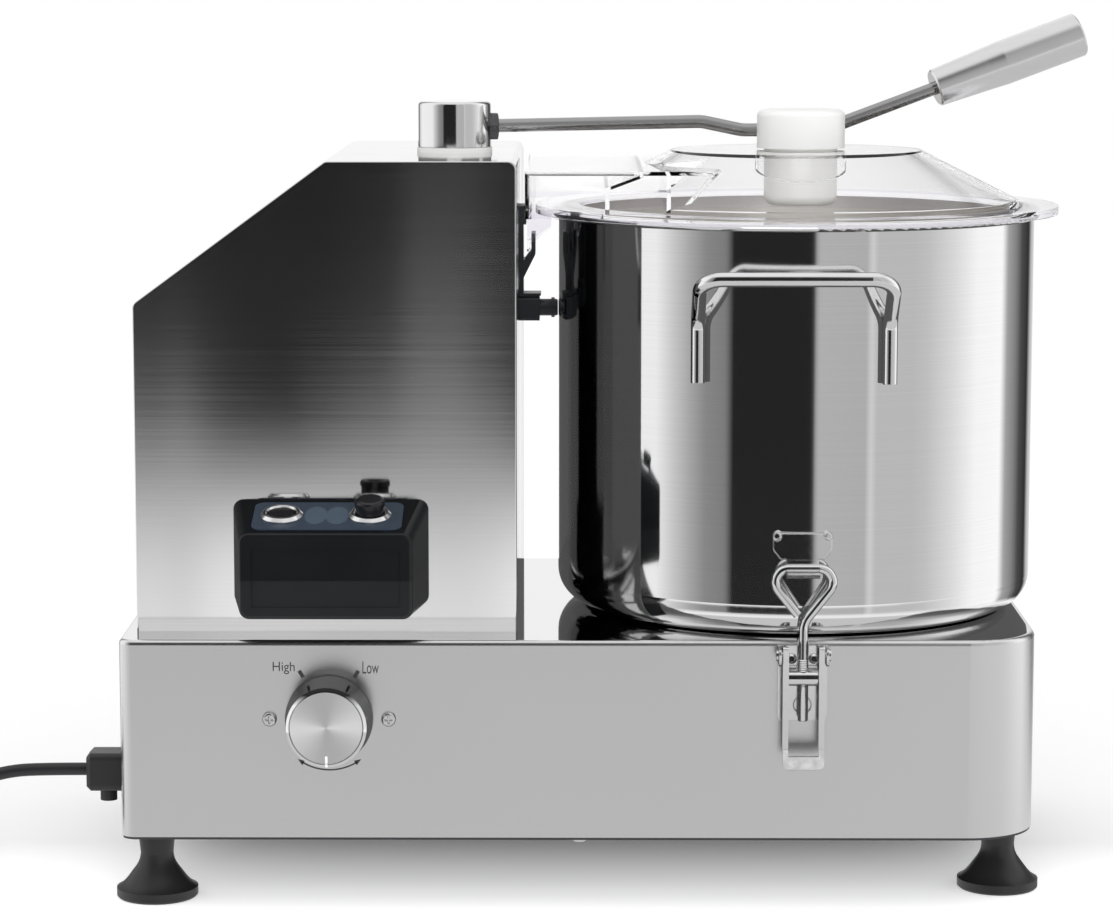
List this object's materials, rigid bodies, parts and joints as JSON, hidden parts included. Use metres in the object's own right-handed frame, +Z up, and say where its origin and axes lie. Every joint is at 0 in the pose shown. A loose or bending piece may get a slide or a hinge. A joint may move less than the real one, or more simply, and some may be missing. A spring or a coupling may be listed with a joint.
{
  "type": "bowl cutter",
  "caption": "Bench-top bowl cutter: belt-driven S-blades on a spindle in a fixed bowl, clear lid with feed stopper, lid lever on a post, toggle latch, push buttons and speed knob.",
  "frame": {"origin": "middle of the machine's outline in plan, without its cord, at floor level", "axes": "+X along the base from the motor end to the bowl end, +Y to the back, +Z up"},
  "size_m": [0.8441, 0.3366, 0.5211],
  "materials": {
    "base_steel": "satin brushed stainless",
    "housing_steel": "brushed stainless, grain along the width",
    "bowl_steel": "polished stainless, fine grain round the bowl",
    "bright_steel": "bright plated steel",
    "blade_steel": "ground stainless",
    "screw_steel": "zinc-plated",
    "spun_aluminium": "spun and bevelled",
    "grip_aluminium": "turned, satin",
    "black_plastic": "moulded, low gloss",
    "button_black": "gloss",
    "label_film": "membrane film",
    "white_plastic": "polyethylene, satin",
    "clear_plastic": "clear polycarbonate",
    "foot_rubber": "moulded rubber",
    "belt_rubber": "fabric-backed belt",
    "cord_sheath": "smooth sheath",
    "dark_plate": "dark coated sheet",
    "motor_paint": "enamel over cast aluminium",
    "cast_housing": "machined casting",
    "bearing_steel": "ground"
  },
  "bodies": {
    "base": {"base_shell": "base_steel", "base_bottom_plate": "dark_plate", "foot_front_left": "foot_rubber", "foot_front_right": "foot_rubber", "foot_rear_left": "foot_rubber", "foot_rear_right": "foot_rubber", "foot_bolts": "screw_steel", "case_screws": "screw_steel", "motor_housing": "housing_steel", "housing_back_panel": "housing_steel", "control_box": "black_plastic", "control_label": "label_film", "start_bezel": "bright_steel", "stop_bezel": "bright_steel", "speed_switch": "black_plastic", "bowl": "bowl_steel", "bowl_handle": "bright_steel", "bowl_catch_plate": "bright_steel", "latch_base_plate": "bright_steel", "latch_rivets": "bright_steel", "latch_pivot_pins": "bright_steel", "lid_hook": "black_plastic", "bowl_switch_block": "black_plastic", "post_washer": "white_plastic", "post_bushing": "white_plastic", "interlock_switch": "black_plastic", "bearing_housing": "cast_housing", "shaft_bearings": "bearing_steel", "drive_belt": "belt_rubber", "motor_casing": "motor_paint", "run_capacitor": "spun_aluminium", "cable_gland": "black_plastic", "power_cord": "cord_sheath", "cord_coil": "cord_sheath", "power_plug": "cord_sheath"},
    "drive": {"drive_shaft": "blade_steel", "driven_pulley": "cast_housing"},
    "knives": {"knife_hub": "blade_steel", "lower_blade": "blade_steel", "knife_spacer": "blade_steel", "upper_blade": "blade_steel", "knife_clamp": "blade_steel"},
    "motor": {"motor_rotor": "bearing_steel", "motor_pulley": "cast_housing", "motor_fan": "black_plastic"},
    "start_button": {"start_button": "button_black"},
    "stop_button": {"stop_button": "button_black"},
    "speed_knob": {"speed_knob": "spun_aluminium", "speed_spindle": "screw_steel"},
    "lever_arm": {"lever_post": "bright_steel", "lever_nut": "screw_steel", "lever_rod": "bright_steel", "lever_grip": "grip_aluminium", "interlock_cam": "black_plastic"},
    "lid": {"lid": "clear_plastic"},
    "stopper": {"stopper": "white_plastic"},
    "latch_lever": {"latch_lever": "bright_steel"},
    "latch_bail": {"latch_barrel": "bright_steel", "latch_bail": "bright_steel"},
    "bowl_plunger": {"bowl_plunger": "button_black"}
  },
  "joints": [
    {"name": "drive_spin", "type": "hinge", "parent": "base", "child": "drive", "pos_m": [0.12052, 0.00785, 0.1], "axis": [0, 0, 1], "continuous": true},
    {"name": "motor_spin", "type": "hinge", "parent": "base", "child": "motor", "pos_m": [-0.16218, 0.02285, 0.1], "axis": [0, 0, 1], "continuous": true},
    {"name": "knife_lift", "type": "slide", "parent": "drive", "child": "knives", "axis": [0, 0, 1], "range_m": [0, 0.085]},
    {"name": "lever_swing", "type": "hinge", "parent": "base", "child": "lever_arm", "pos_m": [-0.08918, 0.00785, 0.4375], "axis": [0, 0, 1], "range_deg": [0, 110]},
    {"name": "lid_lift", "type": "slide", "parent": "base", "child": "lid", "axis": [0, 0, 1], "range_m": [0, 0.005]},
    {"name": "stopper_pull", "type": "slide", "parent": "lid", "child": "stopper", "axis": [0, 0, 1], "range_m": [0, 0.065]},
    {"name": "speed_turn", "type": "hinge", "parent": "base", "child": "speed_knob", "pos_m": [-0.15878, -0.14215, 0.1134], "axis": [0, -1, 0], "range_deg": [-150, 150]},
    {"name": "start_press", "type": "slide", "parent": "base", "child": "start_button", "axis": [0, 0.2516, -0.9678], "range_m": [0, 0.003], "stiffness_N_per_m": 400, "springref_m": -0.0015},
    {"name": "stop_press", "type": "slide", "parent": "base", "child": "stop_button", "axis": [0, 0.2516, -0.9678], "range_m": [0, 0.003], "stiffness_N_per_m": 400, "springref_m": -0.0015},
    {"name": "bowl_sense", "type": "slide", "parent": "base", "child": "bowl_plunger", "axis": [1, 0, 0], "range_m": [-0.005, 0], "stiffness_N_per_m": 300, "springref_m": 0.003},
    {"name": "latch_open", "type": "hinge", "parent": "base", "child": "latch_lever", "pos_m": [0.11782, -0.15135, 0.1535], "axis": [-1, 0, 0], "range_deg": [0, 80]},
    {"name": "latch_loop", "type": "hinge", "parent": "latch_lever", "child": "latch_bail", "pos_m": [0.11782, -0.14885, 0.1397], "axis": [-1, 0, 0], "range_deg": [-66, 0]}
  ],
  "couplings": [
    {"joint": "motor_spin", "follows": "drive_spin", "ratio": 2},
    {"joint": "latch_loop", "follows": "latch_open", "ratio": -0.82}
  ]
}
